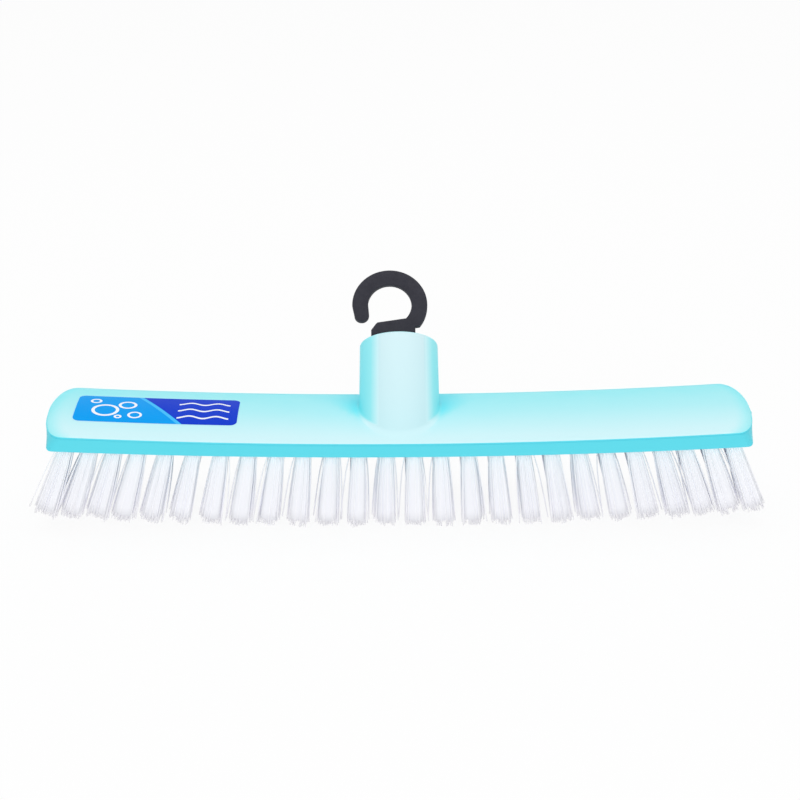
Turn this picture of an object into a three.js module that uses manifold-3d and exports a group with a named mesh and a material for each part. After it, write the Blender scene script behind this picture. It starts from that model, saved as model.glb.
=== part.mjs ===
// Scrub broom head: an arched one-piece block with a leaning handle socket, fanned bristle tufts set in
// blind holes, a hanging hook plugged into the socket and a blank sticker.
// Millimetres, +Z up, X along the block, the handle leaning towards +Y, bristle tips on the floor.

import * as THREE from 'three';
import { LoftGeometry } from 'three/addons/geometries/LoftGeometry.js';
import { mergeVertices } from 'three/addons/utils/BufferGeometryUtils.js';
import Module from 'manifold-3d';

// Block
const BLOCK_LENGTH = 300;
const BLOCK_WIDTH = 54;
const CROWN_CORNER = 13;
const UNDERSIDE_CORNER = 5;
const BAND_HEIGHT = 6.6;
const CROWN_RISE = 2.6;
const END_ROUND = 4;
const END_DRAFT = 0.6;
const UNDERSIDE_ROUND = 1.2;
const ARCH_SAG = 4.5;

// Bristles: columns run across the block, rows run along it
const BRISTLE_LENGTH = 34;
const FAN_ANGLE = THREE.MathUtils.degToRad(21);
const MAIN_COLUMNS = 10;
const MAIN_PITCH = 11.6;
const END_COLUMNS = 3;
const END_PITCH = 10.1;
const ROWS = 5;
const ROW_PITCH = 10;
const HOLE_RADIUS = 2.9;
const HOLE_DEPTH = 5.6;
const ROOT_RADIUS = 2.4;
const ROOT_GAP = 0.3;
const TIP_HALF_LENGTH = 4.2;
const TIP_HALF_WIDTH = 5.25;
const TUFT_SIDES = 6;
const HOLE_SIDES = 8;

// Handle socket, measured along its leaning axis from the level of the block's side walls
const SOCKET_LEAN = THREE.MathUtils.degToRad(43.3);
const SOCKET_BACK = 3.2;
const SOCKET_RIM = 32.6;
const SOCKET_RIM_RADIUS = 17.1;
const SOCKET_FOOT_RADIUS = 17.5;
const RIM_ROUND = 1;
const BORE_RADIUS = 12.5;
const BORE_SHOULDER = 12.6;
const BORE_TIP = 6.1;
const BORE_TIP_RADIUS = 5.5;
const BORE_CHAMFER = 0.8;
const FOOT_FILLET = 2;
const SOCKET_SIDES = 48;

// Hanging hook, a flat plate that holds the socket's axis
const HOOK_THICKNESS = 2.5;
const HOOK_EYE = new THREE.Vector2(-3.8, 51.6);
const HOOK_OUTER_RADIUS = 16.65;
const HOOK_INNER_RADIUS = 9.65;
const HOOK_OUTER_STOP = THREE.MathUtils.degToRad(-37.5);
const HOOK_INNER_START = THREE.MathUtils.degToRad(-42.4);
const HOOK_ARM_END = new THREE.Vector2(-16.25, 47);
const HOOK_ARM_RADIUS = 3.25;
const BASE_CORNER = new THREE.Vector2(-9.3, 43.2);
const BASE_CORNER_CUT = 0.8;
const BASE_SIDE_TOP = 39.6;
const NECK_RIGHT = 7.4;
const NECK_STEP = 0.3;
const TONGUE_HALF = 12.1;
const TONGUE_SHOULDER = 27;
const TONGUE_SHOULDER_DROP = 3;
const TONGUE_END = 17;
const TONGUE_TIP_CUT = 2.5;

// Sticker on the crown
const STICKER_LENGTH = 69.6;
const STICKER_WIDTH = 26.8;
const STICKER_CENTRE = -104.3;
const STICKER_CORNER = 3;
const STICKER_GAP = 0.3;
const STICKER_THICKNESS = 0.3;

const HALF_LENGTH = BLOCK_LENGTH / 2;
const HALF_WIDTH = BLOCK_WIDTH / 2;
const WELD_DISTANCE = 1e-4;

const aqua = new THREE.MeshStandardMaterial({ color: 0x7ce1ea, roughness: 0.45, metalness: 0 });
const white = new THREE.MeshStandardMaterial({ color: 0xecedf4, roughness: 0.5, metalness: 0 });
const black = new THREE.MeshStandardMaterial({ color: 0x3c3c45, roughness: 0.6, metalness: 0 });
const blue = new THREE.MeshStandardMaterial({ color: 0x1478d8, roughness: 0.35, metalness: 0 });

const capped = { capStart: true, capEnd: true };

const wasm = await Module();
wasm.setup();

// Turns a closed geometry into a solid that can be joined and cut.
function solid(geometry) {
  const bare = new THREE.BufferGeometry();
  bare.setAttribute('position', geometry.getAttribute('position'));
  bare.setIndex(geometry.getIndex());
  const welded = mergeVertices(bare, WELD_DISTANCE);
  const index = welded.getIndex().array;
  const triVerts = [];
  for (let i = 0; i < index.length; i += 3) {
    const [a, b, c] = index.slice(i, i + 3);
    const isFlat = a === b || b === c || c === a;
    if (!isFlat) triVerts.push(a, b, c);
  }
  return new wasm.Manifold(new wasm.Mesh({
    numProp: 3,
    vertProperties: new Float32Array(welded.getAttribute('position').array),
    triVerts: new Uint32Array(triVerts),
  }));
}

function geometryOf(manifold) {
  const mesh = manifold.getMesh();
  const geometry = new THREE.BufferGeometry();
  geometry.setAttribute('position', new THREE.Float32BufferAttribute(mesh.vertProperties, 3));
  geometry.setIndex(new THREE.Uint32BufferAttribute(mesh.triVerts, 1));
  geometry.computeVertexNormals();
  return geometry;
}

// The block's shape as functions of the place along it (x) and across it (y)
const archLift = (x) => ARCH_SAG * (x / HALF_LENGTH) ** 2;
const undersideHeight = (x) => BRISTLE_LENGTH + archLift(x);

// Half the width of a plan outline with round corners of the given radius.
function halfWidthAt(x, corner) {
  const intoCorner = Math.max(0, Math.abs(x) - (HALF_LENGTH - corner));
  return HALF_WIDTH - corner + Math.sqrt(corner ** 2 - intoCorner ** 2);
}

function crownRiseAt(x) {
  const intoEnd = Math.max(0, Math.abs(x) - (HALF_LENGTH - END_ROUND)) / END_ROUND;
  return CROWN_RISE * Math.sqrt(1 - intoEnd ** 2);
}

function crownHeight(x, y) {
  const across = y / halfWidthAt(x, CROWN_CORNER);
  return undersideHeight(x) + BAND_HEIGHT + crownRiseAt(x) * (1 - across ** 2);
}

// Places along the block for its cross sections: even in the straight part, even in angle round the corners.
function blockStations() {
  const straightSteps = 6;
  const cornerSteps = 8;
  const straight = HALF_LENGTH - CROWN_CORNER;
  const half = [];
  for (let i = 1; i <= straightSteps; i++) half.push((straight * i) / straightSteps);
  for (let i = 1; i <= cornerSteps; i++) {
    half.push(straight + CROWN_CORNER * Math.sin(((Math.PI / 2) * i) / cornerSteps));
  }
  return [...half.map((x) => -x).reverse(), 0, ...half];
}

// One cross section. The band's wall widens downwards in the corners, where the lower edge turns more tightly
// than the crown's edge, and tapers in a little towards the ends.
function blockSection(x) {
  const crownSteps = 12;
  const w = halfWidthAt(x, UNDERSIDE_CORNER);
  const crownHalf = halfWidthAt(x, CROWN_CORNER);
  const bottom = undersideHeight(x);
  const lowerX = x * (1 - END_DRAFT / HALF_LENGTH);
  const halfRound = UNDERSIDE_ROUND * (1 - Math.SQRT1_2);
  const side = [
    [w - UNDERSIDE_ROUND, bottom],
    [w - halfRound, bottom + halfRound],
    [w, bottom + UNDERSIDE_ROUND],
  ];
  const points = side.map(([y, z]) => new THREE.Vector3(lowerX, y, z));
  for (let i = 0; i <= crownSteps; i++) {
    const y = crownHalf * (1 - (2 * i) / crownSteps);
    points.push(new THREE.Vector3(x, y, crownHeight(x, y)));
  }
  for (const [y, z] of side.toReversed()) points.push(new THREE.Vector3(lowerX, -y, z));
  return points;
}

function blockBody() {
  return solid(new LoftGeometry(blockStations().map(blockSection), capped));
}

// The socket's frame: local Y is its axis, local Z faces the front, X stays along the block.
const socketFrame = new THREE.Matrix4()
  .makeRotationX(Math.PI / 2 - SOCKET_LEAN)
  .setPosition(0, SOCKET_BACK, BRISTLE_LENGTH + BAND_HEIGHT);

// A point on a cone round the socket's axis: angle 0 is +X and a quarter turn faces the back.
function socketPoint(radius, angle, along) {
  const local = new THREE.Vector3(radius * Math.cos(angle), along, -radius * Math.sin(angle));
  return local.applyMatrix4(socketFrame);
}

const socketTaper = (SOCKET_FOOT_RADIUS - SOCKET_RIM_RADIUS) / SOCKET_RIM;
const socketRadius = (along) => SOCKET_FOOT_RADIUS - socketTaper * along;

// How far along the axis a line at this radius and angle meets the crown.
function footAlong(radius, angle) {
  const halvings = 40;
  let low = -SOCKET_RIM;
  let high = SOCKET_RIM;
  for (let i = 0; i < halvings; i++) {
    const middle = (low + high) / 2;
    const point = socketPoint(radius, angle, middle);
    if (point.z > crownHeight(point.x, point.y)) high = middle;
    else low = middle;
  }
  return high;
}

// One line of the socket's outer wall, from inside the block up to the rim. A concave arc joins it to the
// crown, and fades towards the back, where the socket leaves the block at its rear edge.
function socketWallLine(angle) {
  const arcSteps = 4;
  const sink = 0.2;
  const rootDepth = 3;
  const fadeEnd = -0.8;
  const fadeStart = -0.1;
  const backShare = 0.1;
  const towardsFront = -Math.sin(angle);
  const fade = THREE.MathUtils.smoothstep(towardsFront, fadeEnd, fadeStart);
  const fillet = FOOT_FILLET * THREE.MathUtils.lerp(backShare, 1, fade);
  const foot = footAlong(SOCKET_FOOT_RADIUS, angle);
  const radius = socketRadius(foot);
  const corner = socketPoint(radius, angle, foot);
  const onCrown = socketPoint(radius + fillet, angle, footAlong(radius + fillet, angle));
  onCrown.z -= sink;
  const onWall = socketPoint(socketRadius(foot + fillet), angle, foot + fillet);
  const root = socketPoint(radius - rootDepth, angle, foot);
  root.z = BRISTLE_LENGTH + BAND_HEIGHT / 2;
  const line = [root];
  for (let k = 0; k <= arcSteps; k++) {
    const t = k / arcSteps;
    const towardsCorner = onCrown.clone().lerp(corner, t);
    line.push(towardsCorner.lerp(corner.clone().lerp(onWall, t), t));
  }
  const halfRound = RIM_ROUND * (1 - Math.SQRT1_2);
  line.push(socketPoint(SOCKET_RIM_RADIUS, angle, SOCKET_RIM - RIM_ROUND));
  line.push(socketPoint(SOCKET_RIM_RADIUS - halfRound, angle, SOCKET_RIM - halfRound));
  line.push(socketPoint(SOCKET_RIM_RADIUS - RIM_ROUND, angle, SOCKET_RIM));
  return line;
}

// The wall lines side by side make level rings, which are skinned from the root to the rim.
function socketBody() {
  const lines = Array.from({ length: SOCKET_SIDES }, (_, i) => socketWallLine((2 * Math.PI * i) / SOCKET_SIDES));
  const rings = lines[0].map((_, level) => lines.map((line) => line[level]));
  return solid(new LoftGeometry(rings, capped));
}

// A blind bore with a blunt cone at its end, where a handle's tapered tip goes.
function socketBore() {
  const above = 4;
  const mouth = BORE_RADIUS + BORE_CHAMFER;
  const profile = [
    new THREE.Vector2(0, BORE_TIP),
    new THREE.Vector2(BORE_TIP_RADIUS, BORE_TIP),
    new THREE.Vector2(BORE_RADIUS, BORE_SHOULDER),
    new THREE.Vector2(BORE_RADIUS, SOCKET_RIM - BORE_CHAMFER),
    new THREE.Vector2(mouth, SOCKET_RIM),
    new THREE.Vector2(mouth, SOCKET_RIM + above),
    new THREE.Vector2(0, SOCKET_RIM + above),
  ];
  return solid(new THREE.LatheGeometry(profile, SOCKET_SIDES).applyMatrix4(socketFrame));
}

// Column places from the middle of the block outwards, both ways.
function tuftColumns() {
  const half = [];
  for (let i = 0; i < MAIN_COLUMNS; i++) half.push((i + 0.5) * MAIN_PITCH);
  for (let i = 0; i < END_COLUMNS; i++) half.push(half.at(-1) + END_PITCH);
  const outermost = half.at(-1);
  const column = (x) => ({ x, lean: (FAN_ANGLE * x) / outermost });
  return [...half.map((x) => -x).reverse(), ...half].map(column);
}

const rowPlaces = Array.from({ length: ROWS }, (_, i) => (i - (ROWS - 1) / 2) * ROW_PITCH);

// A level ring round a tuft's leaning axis, at a depth below the underside of the block.
function tuftRing(column, y, depth, halfLength, halfWidth, sides) {
  const centre = column.x + Math.tan(column.lean) * depth;
  const z = undersideHeight(column.x) - depth;
  return Array.from({ length: sides }, (_, i) => {
    const angle = (2 * Math.PI * i) / sides;
    return new THREE.Vector3(centre + halfLength * Math.cos(angle), y + halfWidth * Math.sin(angle), z);
  });
}

function tuftHole(column, y) {
  const below = 3;
  return solid(new LoftGeometry([
    tuftRing(column, y, below, HOLE_RADIUS, HOLE_RADIUS, HOLE_SIDES),
    tuftRing(column, y, -HOLE_DEPTH, HOLE_RADIUS, HOLE_RADIUS, HOLE_SIDES),
  ], capped));
}

function tuft(column, y) {
  const drop = BRISTLE_LENGTH * Math.cos(column.lean);
  const tipWidth = TIP_HALF_WIDTH / Math.cos(Math.PI / TUFT_SIDES);
  return solid(new LoftGeometry([
    tuftRing(column, y, drop, TIP_HALF_LENGTH, tipWidth, TUFT_SIDES),
    tuftRing(column, y, 0, ROOT_RADIUS, ROOT_RADIUS, TUFT_SIDES),
    tuftRing(column, y, ROOT_GAP - HOLE_DEPTH, ROOT_RADIUS, ROOT_RADIUS, TUFT_SIDES),
  ], capped));
}

const join = (solids) => solids.reduce((whole, next) => whole.add(next));

function block(columns) {
  const holes = columns.flatMap((column) => rowPlaces.map((y) => tuftHole(column, y)));
  const moulding = blockBody().add(socketBody());
  return geometryOf(moulding.subtract(socketBore()).subtract(join(holes)));
}

// The tufts of one column touch at their tips, where the filaments spread into each other.
function tuftColumn(column) {
  return geometryOf(join(rowPlaces.map((y) => tuft(column, y))));
}

// Outline of the hook, drawn across (x) and along (y) the socket's axis: a tongue that fills the bore, a base
// with a slanting top edge, and an eye that is open at its lower left beside the arm's round end.
function hookOutline() {
  const halfTurn = Math.PI;
  const outerLow = HOOK_EYE.y + HOOK_OUTER_RADIUS * Math.sin(HOOK_OUTER_STOP);
  const shape = new THREE.Shape();
  shape.moveTo(TONGUE_TIP_CUT - TONGUE_HALF, TONGUE_END);
  shape.lineTo(TONGUE_HALF - TONGUE_TIP_CUT, TONGUE_END);
  shape.lineTo(TONGUE_HALF, TONGUE_END + TONGUE_TIP_CUT);
  shape.lineTo(TONGUE_HALF, TONGUE_SHOULDER - TONGUE_SHOULDER_DROP);
  shape.lineTo(NECK_RIGHT, TONGUE_SHOULDER);
  shape.lineTo(NECK_RIGHT, outerLow - NECK_STEP);
  shape.absarc(HOOK_EYE.x, HOOK_EYE.y, HOOK_OUTER_RADIUS, HOOK_OUTER_STOP, halfTurn, false);
  shape.lineTo(HOOK_ARM_END.x - HOOK_ARM_RADIUS, HOOK_ARM_END.y);
  shape.absarc(HOOK_ARM_END.x, HOOK_ARM_END.y, HOOK_ARM_RADIUS, halfTurn, 2 * halfTurn, false);
  shape.lineTo(HOOK_EYE.x - HOOK_INNER_RADIUS, HOOK_EYE.y);
  shape.absarc(HOOK_EYE.x, HOOK_EYE.y, HOOK_INNER_RADIUS, halfTurn, HOOK_INNER_START, true);
  shape.lineTo(BASE_CORNER.x, BASE_CORNER.y);
  shape.lineTo(BASE_CORNER.x - BASE_CORNER_CUT, BASE_CORNER.y - BASE_CORNER_CUT);
  shape.lineTo(-TONGUE_HALF, BASE_SIDE_TOP);
  shape.lineTo(-TONGUE_HALF, TONGUE_END + TONGUE_TIP_CUT);
  return shape;
}

function hook() {
  const curveSteps = 16;
  const plate = new THREE.ExtrudeGeometry(hookOutline(), {
    depth: HOOK_THICKNESS,
    bevelEnabled: false,
    curveSegments: curveSteps,
  });
  plate.translate(0, 0, -HOOK_THICKNESS / 2).applyMatrix4(socketFrame);
  return geometryOf(solid(plate));
}

// A thin skin that follows the crown, with round corners.
function sticker() {
  const straightSteps = 4;
  const cornerSteps = 4;
  const acrossSteps = 6;
  const half = STICKER_LENGTH / 2;
  const straight = half - STICKER_CORNER;
  const stations = [];
  for (let i = cornerSteps; i > 0; i--) {
    stations.push(-straight - STICKER_CORNER * Math.sin(((Math.PI / 2) * i) / cornerSteps));
  }
  for (let i = 0; i <= straightSteps; i++) stations.push(straight * ((2 * i) / straightSteps - 1));
  for (let i = 1; i <= cornerSteps; i++) {
    stations.push(straight + STICKER_CORNER * Math.sin(((Math.PI / 2) * i) / cornerSteps));
  }
  const sections = stations.map((along) => {
    const x = STICKER_CENTRE + along;
    const intoCorner = Math.max(0, Math.abs(along) - straight);
    const inset = STICKER_CORNER - Math.sqrt(STICKER_CORNER ** 2 - intoCorner ** 2);
    const reach = STICKER_WIDTH / 2 - inset;
    const line = (height) => Array.from({ length: acrossSteps + 1 }, (_, i) => {
      const y = reach * (1 - (2 * i) / acrossSteps);
      return new THREE.Vector3(x, y, crownHeight(x, y) + height);
    });
    return [...line(STICKER_GAP + STICKER_THICKNESS), ...line(STICKER_GAP).reverse()];
  });
  return geometryOf(solid(new LoftGeometry(sections, capped)));
}

function piece(name, geometry, material) {
  const mesh = new THREE.Mesh(geometry, material);
  mesh.name = name;
  return mesh;
}

const columns = tuftColumns();
const broomHead = new THREE.Group();
broomHead.add(piece('block', block(columns), aqua));
columns.forEach((column, i) => {
  const number = String(i + 1).padStart(2, '0');
  broomHead.add(piece(`tuft_column_${number}`, tuftColumn(column), white));
});
broomHead.add(piece('hanging_hook', hook(), black));
broomHead.add(piece('sticker', sticker(), blue));

// The origin is on the floor, under the middle of the whole broom head.
const box = new THREE.Box3().setFromObject(broomHead, true);
const middle = box.getCenter(new THREE.Vector3());
broomHead.position.set(-middle.x, -middle.y, -box.min.z);

export default broomHead;
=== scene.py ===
# %% [markdown]
# # Dressing a scrub broom head
#
# The broom head is an arched aqua moulding with a leaning handle socket, a field of white bristle tufts, a
# black hanging hook plugged into the socket and a printed sticker. Its solids are already packed as a frame
# that must not move. This lesson makes each piece again with the detail a camera sees, in the same place.

# %% Load the frame
import math
import random
from collections import namedtuple

import bmesh
import bpy
from mathutils import Matrix, Vector


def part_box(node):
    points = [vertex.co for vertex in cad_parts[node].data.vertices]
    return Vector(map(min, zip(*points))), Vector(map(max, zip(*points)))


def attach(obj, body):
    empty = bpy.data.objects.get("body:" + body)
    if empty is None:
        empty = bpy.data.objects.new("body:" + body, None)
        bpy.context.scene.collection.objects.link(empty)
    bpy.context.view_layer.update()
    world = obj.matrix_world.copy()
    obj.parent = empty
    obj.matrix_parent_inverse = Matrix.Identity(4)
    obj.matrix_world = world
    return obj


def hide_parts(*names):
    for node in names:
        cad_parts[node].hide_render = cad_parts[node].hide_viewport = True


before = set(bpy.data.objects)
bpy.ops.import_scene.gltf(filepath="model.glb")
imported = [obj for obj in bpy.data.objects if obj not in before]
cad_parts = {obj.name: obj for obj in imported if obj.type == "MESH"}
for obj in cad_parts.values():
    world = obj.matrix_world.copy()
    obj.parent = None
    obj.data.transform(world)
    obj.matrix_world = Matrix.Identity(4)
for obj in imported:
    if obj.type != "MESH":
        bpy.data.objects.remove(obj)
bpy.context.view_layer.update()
print("frame nodes:", len(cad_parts))

# %% [markdown]
# ## A drawing frame in millimetres
#
# The product is easiest to draw in millimetres, with the block's centre line at y = 0 and the floor at z = 0.
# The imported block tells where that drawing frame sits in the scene: its front wall is half the block's width
# in front of the centre line, and its lowest point is one bristle length above the floor.

# %% Driving dimensions of the block
Outline = namedtuple("Outline", "half_length bow power")

BLOCK_LENGTH = 300.0
BLOCK_WIDTH = 54.0
CROWN_OUTLINE = Outline(half_length=151.0, bow=9.6, power=2.25)
LOWER_OUTLINE = Outline(half_length=149.4, bow=3.4, power=4.5)
BAND_HEIGHT = 6.6
BAND_GROWTH = 0.6
CROWN_RISE = 2.6
END_ROUND = 5.0
ARCH_SAG = 4.5
BRISTLE_LENGTH = 34.0

HALF_LENGTH = BLOCK_LENGTH / 2
HALF_WIDTH = BLOCK_WIDTH / 2
MILLIMETRE = 0.001

block_low, block_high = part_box("block")
drawing_origin = Vector((
    (block_low[0] + block_high[0]) / 2,
    block_low[1] + HALF_WIDTH * MILLIMETRE,
    block_low[2] - BRISTLE_LENGTH * MILLIMETRE,
))
TO_FRAME = Matrix.Translation(drawing_origin) @ Matrix.Scale(MILLIMETRE, 4)
print("drawing origin in the frame:", [round(v, 5) for v in drawing_origin])

# %% [markdown]
# ## Turning a bmesh into a piece
#
# Every piece below is drawn in millimetres and then moved into the frame by one matrix, so that its object
# stays at the origin, unturned and unscaled. Faces are shaded smooth, and edges that turn sharply stay crisp.

# %% Helpers that make an object
def mesh_from(bm, name):
    mesh = bpy.data.meshes.new(name)
    bm.to_mesh(mesh)
    bm.free()
    return mesh


def object_from(bm, name):
    made = bpy.data.objects.new(name, mesh_from(bm, name))
    bpy.context.scene.collection.objects.link(made)
    return made


def settle(piece, sharp_degrees):
    piece.data.transform(TO_FRAME)
    piece.data.shade_smooth()
    piece.data.set_sharp_from_angle(angle=math.radians(sharp_degrees))
    print(piece.name, "has", len(piece.data.polygons), "faces")


# %% [markdown]
# ## The block's crown and band
#
# The block is a rounded bar whose underside arches upwards to both ends. Its top is a low crown, and a plain
# band runs round it. Seen from above, the crown's edge turns round the ends in a wide bow and the lower edge
# in tight corners, so the band draws in a little there. A box with bevelled corners would have plain arcs.
# Here an end is a superellipse instead, with a half length, a bow and a power: it goes from an ellipse at a
# power of 2 to an almost square end at a high power.

# %% Shape formulas
LEAST_WIDTH = 0.001


def clamp(value):
    return min(1.0, max(0.0, value))


def underside_height(x):
    return BRISTLE_LENGTH + ARCH_SAG * (x / HALF_LENGTH) ** 2


def lower_edge_height(x):
    """The band grows a little towards the ends."""
    return underside_height(x) - BAND_GROWTH * (x / HALF_LENGTH) ** 2


def crown_edge_height(x):
    return underside_height(x) + BAND_HEIGHT


def crown_half_width(x):
    into_bow = (abs(x) - (CROWN_OUTLINE.half_length - CROWN_OUTLINE.bow)) / CROWN_OUTLINE.bow
    return HALF_WIDTH * (1 - clamp(into_bow) ** CROWN_OUTLINE.power) ** (1 / CROWN_OUTLINE.power)


def crown_height(x, y):
    into_end = (abs(x) - (CROWN_OUTLINE.half_length - END_ROUND)) / END_ROUND
    rise = CROWN_RISE * math.sqrt(1 - clamp(into_end) ** 2)
    across = clamp(abs(y) / max(crown_half_width(x), LEAST_WIDTH))
    return crown_edge_height(x) + rise * (1 - across**2)


print("the crown's middle is", round(crown_height(0, 0), 2), "mm above the floor")

# %% [markdown]
# A flat square grid is pushed into such an outline vertex by vertex. The middle of the square is only
# stretched. Each end of it is first rounded into a half disc, and the disc is then swollen into the
# superellipse, so the square's border always lands on the outline. Its rim can then be extruded down for the
# band.

# %% A grid in the outline of the block
STRAIGHT_SHARE = 0.7
GRID_ALONG = 120
GRID_ACROSS = 30


def outline_place(along, across, outline, inset=0.0):
    """Place in an outline that is drawn in by an inset, for a place in a square from -1 to 1."""
    straight = outline.half_length - outline.bow
    x = straight * clamp(abs(along) / STRAIGHT_SHARE)
    y = across * HALF_WIDTH
    into_end = (abs(along) - STRAIGHT_SHARE) / (1 - STRAIGHT_SHARE)
    if into_end > 0:
        disc = Vector((into_end * math.sqrt(1 - across**2 / 2), across * math.sqrt(1 - into_end**2 / 2)))
        norm = (disc.x**outline.power + abs(disc.y) ** outline.power) ** (1 / outline.power)
        swollen = disc * disc.length / norm
        x += outline.bow * swollen.x
        y = HALF_WIDTH * swollen.y
    x = math.copysign(x, along)
    return Vector((x * (1 - inset / outline.half_length), y * (1 - inset / HALF_WIDTH), 0))


def outline_grid(bm, outline, inset, height):
    """Adds a grid that fills an inset outline of the block, at the height that a function gives. Every vertex
    keeps the place in the square that it was made from."""
    origin = bm.verts.layers.float_vector.get("origin") or bm.verts.layers.float_vector.new("origin")
    grid = bmesh.ops.create_grid(bm, x_segments=GRID_ALONG, y_segments=GRID_ACROSS, size=1)
    for vert in grid["verts"]:
        vert[origin] = vert.co
        place = outline_place(vert.co.x, vert.co.y, outline, inset)
        vert.co = (place.x, place.y, height(place.x, place.y))


def rim_edges(bm):
    return [edge for edge in bm.edges if edge.is_boundary]


def verts_in(geometry):
    return [item for item in geometry if isinstance(item, bmesh.types.BMVert)]


# %% [markdown]
# The rim is extruded down ring by ring: a small round under the crown, a hair-thin groove where the two halves
# of the mould met, the plain band, and a larger round to the underside. A second grid closes the bottom. A
# bevel would round the edges too, but it couldn't lead from one outline to the other. Each ring is an inset
# from an outline and a height, and where the moulds met at one end a small nib of flash is left.

# %% Rings round the block
CROWN_EDGE_ROUND = 0.4
UNDERSIDE_ROUND = 1.2
ROUND_STEPS = 4
GROOVE_DROP = 0.75
GROOVE_HALF_HEIGHT = 0.14
GROOVE_DEPTH = 0.16
GROOVE_LAND = 0.4
FLASH_ACROSS = -0.3
FLASH_PLACE = outline_place(1.0, FLASH_ACROSS, CROWN_OUTLINE)
FLASH_PROUD = 0.5
FLASH_REACH = 0.9


def extruded_ring(bm, place_of):
    """Extrudes the open rim and moves each new vertex to the place that its origin gives."""
    origin = bm.verts.layers.float_vector["origin"]
    step = bmesh.ops.extrude_edge_only(bm, edges=rim_edges(bm))
    for vert in verts_in(step["geom"]):
        vert.co = place_of(vert[origin].x, vert[origin].y)


def upper_ring(inset, drop):
    """Ring on the crown's outline, a drop below its edge."""
    def place_of(along, across):
        from_flash = (outline_place(along, across, CROWN_OUTLINE) - FLASH_PLACE).length
        flash = FLASH_PROUD * math.exp(-((from_flash / FLASH_REACH) ** 2)) if inset > 0 else 0
        place = outline_place(along, across, CROWN_OUTLINE, inset - flash)
        place.z = crown_edge_height(place.x) - drop
        return place
    return place_of


def lower_ring(inset, lift):
    """Ring on the lower edge's tighter outline, a lift above that edge."""
    def place_of(along, across):
        place = outline_place(along, across, LOWER_OUTLINE, inset)
        place.z = lower_edge_height(place.x) + lift
        return place
    return place_of


# %% Crown, parting groove, band and underside
WELD_DISTANCE = 1e-3

block_mesh = bmesh.new()
outline_grid(block_mesh, CROWN_OUTLINE, CROWN_EDGE_ROUND, crown_height)
quarter_turns = [math.pi / 2 * (k + 1) / ROUND_STEPS for k in range(ROUND_STEPS)]
for turn in quarter_turns:
    extruded_ring(block_mesh, upper_ring(CROWN_EDGE_ROUND * (1 - math.sin(turn)),
                                         CROWN_EDGE_ROUND * (1 - math.cos(turn))))
for inset, drop in [(0, -GROOVE_HALF_HEIGHT), (GROOVE_DEPTH, 0), (0, GROOVE_HALF_HEIGHT), (0, GROOVE_LAND)]:
    extruded_ring(block_mesh, upper_ring(inset, GROOVE_DROP + drop))
extruded_ring(block_mesh, lower_ring(0, UNDERSIDE_ROUND))
for turn in quarter_turns:
    extruded_ring(block_mesh, lower_ring(UNDERSIDE_ROUND * (1 - math.cos(turn)),
                                         UNDERSIDE_ROUND * (1 - math.sin(turn))))
outline_grid(block_mesh, LOWER_OUTLINE, UNDERSIDE_ROUND, lambda x, y: lower_edge_height(x))
bmesh.ops.remove_doubles(block_mesh, verts=block_mesh.verts, dist=WELD_DISTANCE)
bmesh.ops.recalc_face_normals(block_mesh, faces=block_mesh.faces)
print("block body closed:", not rim_edges(block_mesh), "with", len(block_mesh.faces), "faces")
block = object_from(block_mesh, "block_moulding")

# %% [markdown]
# ## The handle socket
#
# A tapered tube leans back out of the crown. A plain cylinder joined to the block would leave a sharp corner
# all round its foot. So its outer wall is drawn as rings: a circle is extruded again and again, and each new
# ring is moved to its place. A concave arc joins the wall to the crown, as the mould's corner would, and fades
# out at the back, where the tube leaves the block at its rear edge.

# %% Socket frame
SOCKET_LEAN = math.radians(43.3)
SOCKET_BACK = 3.2
SOCKET_RIM = 32.6
SOCKET_RIM_RADIUS = 17.1
SOCKET_FOOT_RADIUS = 17.5
BISECTIONS = 40

SOCKET_FRAME = (
    Matrix.Translation((0, SOCKET_BACK, crown_edge_height(0)))
    @ Matrix.Rotation(math.pi / 2 - SOCKET_LEAN, 4, "X")
)


def socket_point(radius, angle, along):
    return SOCKET_FRAME @ Vector((radius * math.cos(angle), along, -radius * math.sin(angle)))


def socket_radius(along):
    return SOCKET_FOOT_RADIUS + (SOCKET_RIM_RADIUS - SOCKET_FOOT_RADIUS) * along / SOCKET_RIM


def foot_along(radius, angle):
    """Where a line beside the socket's axis comes out of the crown."""
    low = -SOCKET_RIM
    high = SOCKET_RIM
    for _ in range(BISECTIONS):
        middle = (low + high) / 2
        point = socket_point(radius, angle, middle)
        x = max(-HALF_LENGTH, min(HALF_LENGTH, point.x))
        if point.z > crown_height(x, point.y):
            high = middle
        else:
            low = middle
    return high


print("the socket's front comes out", round(foot_along(SOCKET_FOOT_RADIUS, -math.pi / 2), 2), "mm up its axis")

# %% Lines up the socket's wall
RIM_ROUND = 1.0
RIM_STEPS = 5
FOOT_FILLET = 2.0
FILLET_BACK_SHARE = 0.1
FILLET_FADE = (-0.8, -0.1)
FILLET_SINK = 0.04
FILLET_STEPS = 7
WALL_ROOT_DEPTH = 3.0
SOCKET_SIDES = 96


def smoothstep(value, low, high):
    t = clamp((value - low) / (high - low))
    return t * t * (3 - 2 * t)


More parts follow.
